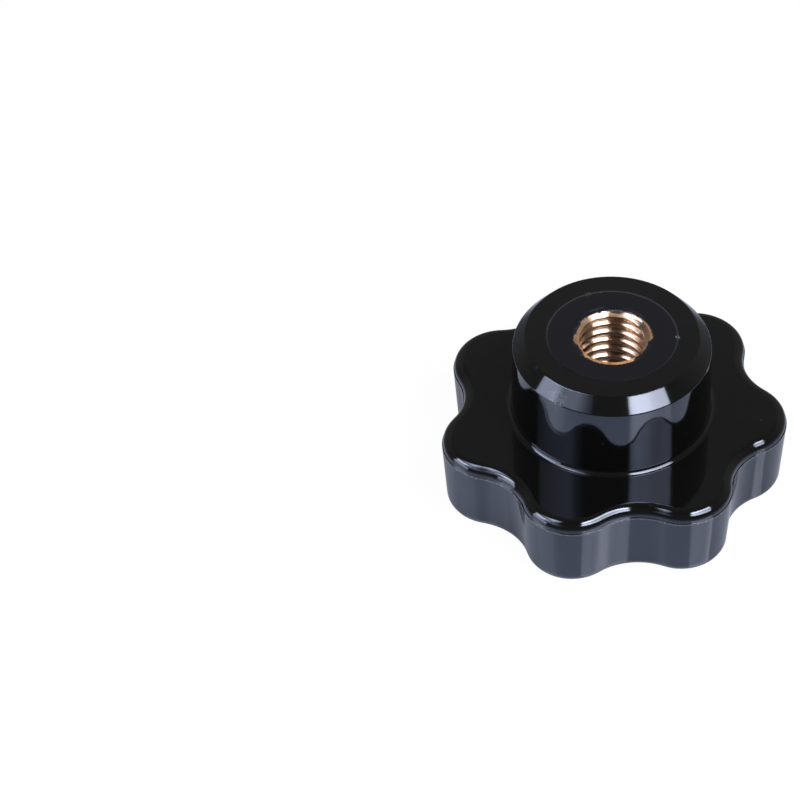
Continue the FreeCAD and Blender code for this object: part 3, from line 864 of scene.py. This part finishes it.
def make_softbox(name, corners, strength, tint, across=EVEN, up=EVEN):
    """A glowing sheet. corners are directions: lower left, lower right, upper right, upper left.
    Its brightness is strength times the shares that across and up give as place and share."""
    points = [direction(*where) * STUDIO_RADIUS for where in corners]
    mesh = bpy.data.meshes.new(name)
    mesh.from_pydata([tuple(point) for point in points], [], [(0, 1, 2, 3)])
    sheet_uv = mesh.uv_layers.new(name="sheet")
    sheet_uv.data.foreach_set("uv", [0, 0, 1, 0, 1, 1, 0, 1])
    material, tree, output = new_material(name + "_cloth")
    where = add_node(tree, "ShaderNodeUVMap", uv_map="sheet")
    split = add_node(tree, "ShaderNodeSeparateXYZ", {0: where.outputs[0]})
    shares = add_node(tree, "ShaderNodeVectorMath", {
        0: add_ramp(tree, split.outputs["X"], across), 1: add_ramp(tree, split.outputs["Y"], up)},
        operation="MULTIPLY")
    tinted = add_node(tree, "ShaderNodeVectorMath", {
        0: shares.outputs[0], 1: tint}, operation="MULTIPLY")
    glow = add_node(tree, "ShaderNodeEmission", {"Color": tinted.outputs[0], "Strength": strength})
    tree.links.new(glow.outputs[0], output.inputs["Surface"])
    softbox = bpy.data.objects.new(name, mesh)
    softbox.data.materials.append(material)
    softbox.visible_camera = False
    bpy.context.collection.objects.link(softbox)
    width = math.degrees(direction(*corners[0]).angle(direction(*corners[1])))
    print(name, "is", round(width), "degrees wide at its foot")


# %% [markdown]
# ## The key
# Its light is nearly white. It is brightest near the top, which whitens the rounded edges of the
# lobes, and weaker in the middle, where the flat top of the star and the hub mirror it in turn.

# %% Key softbox
KEY_TINT = (1.0, 0.98, 0.99)
make_softbox(
    "key_softbox", [(23, 30.5), (67, 23.5), (97, 60), (35, 66)], 26.6, KEY_TINT,
    across=[(0.0, 0.1), (0.1, 0.58), (0.2, 0.66), (0.5, 0.62), (0.62, 0.5), (0.94, 0.42), (1.0, 0.3)],
    up=[(0.0, 0.63), (0.17, 0.63), (0.22, 0.69), (0.27, 0.69), (0.33, 0.37), (0.38, 0.34),
        (0.43, 0.42), (0.6, 0.4), (0.68, 1.0), (0.9, 1.0), (1.0, 0.6)])

# %% [markdown]
# ## The bank at the left
# These lamps are a little bluer than the key. Two of them fade out towards the front, which gives
# the left half of the chamfer its soft change from pale to dark. A straight edge between two
# corners of one height looks bent upwards from the knob, so the wide upper box starts lower than
# the tube ends, or else a dark gap would show between them.

# %% Bank of softboxes
BANK_TINT = (0.97, 0.98, 1.06)
make_softbox("bank_foot", [(-80, 3), (-46, 3), (-46, 15.5), (-80, 15.5)], 3.6, BANK_TINT)
make_softbox(
    "bank_lower", [(-79, 16), (-12, 16), (-12, 32.5), (-81, 32.5)], 6.3, BANK_TINT,
    across=[(0.0, 0.8), (0.1, 1.0), (0.32, 0.95), (0.42, 0.26), (0.5, 0.25), (0.66, 0.25),
            (0.75, 0.16), (0.84, 0.08), (1.0, 0.01)],
    up=[(0.0, 0.54), (0.4, 0.54), (0.55, 1.0), (1.0, 1.0)])
make_softbox(
    "bank_tube", [(-84, 33), (-44, 33), (-44, 40), (-85, 40)], 15.0, BANK_TINT,
    across=[(0.0, 0.2), (0.1, 0.6), (0.45, 0.75), (0.6, 1.0), (0.9, 1.0), (1.0, 0.2)],
    up=[(0.0, 0.6), (0.25, 1.0), (0.6, 1.0), (1.0, 0.2)])
make_softbox(
    "bank_upper", [(-90, 37.8), (-26, 37.8), (-28, 71), (-78, 71)], 6.6, BANK_TINT,
    across=[(0.0, 0.02), (0.2, 0.35), (0.31, 0.48), (0.53, 0.78), (0.64, 0.9), (0.74, 1.0),
            (0.85, 0.4), (1.0, 0.02)],
    up=[(0.0, 0.35), (0.3, 0.35), (0.45, 0.7), (0.6, 1.0), (1.0, 1.0)])

# %% [markdown]
# ## The room
# The rest of the studio is dark. Behind the table a pale wall shows low down, and its upper edge
# gives the flat faces their slight change from pale to dark. The camera itself sees plain white
# beyond the sheet, as in a cut-out product picture.

# %% World
world = bpy.data.worlds.new("studio")
bpy.context.scene.world = world
world.use_nodes = True
room = world.node_tree
room.nodes.clear()
room_way = add_node(room, "ShaderNodeTexCoord")
room_split = add_node(room, "ShaderNodeSeparateXYZ", {0: room_way.outputs["Generated"]})
room_behind = add_node(room, "ShaderNodeMapRange", {
    "Value": room_split.outputs["Y"], "From Min": -0.2, "From Max": 0.6,
    "To Min": 0.45, "To Max": 1.0})
room_height = add_node(room, "ShaderNodeMapRange", {
    "Value": room_split.outputs["Z"], "From Min": 0.672, "From Max": 0.705,
    "To Min": 0.18, "To Max": 0.115})
room_grey = add_node(room, "ShaderNodeMath", {
    0: room_behind.outputs[0], 1: room_height.outputs[0]}, operation="MULTIPLY")
room_dark = add_node(room, "ShaderNodeBackground", {
    "Color": (1.0, 0.93, 0.78, 1), "Strength": room_grey.outputs[0]})
room_white = add_node(room, "ShaderNodeBackground", {"Color": (1, 1, 1, 1), "Strength": 1.0})
room_ray = add_node(room, "ShaderNodeLightPath")
room_mix = add_node(room, "ShaderNodeMixShader", {
    0: room_ray.outputs["Is Camera Ray"], 1: room_dark.outputs[0], 2: room_white.outputs[0]})
add_node(room, "ShaderNodeOutputWorld", {"Surface": room_mix.outputs[0]})
print("world has", len(room.nodes), "nodes")
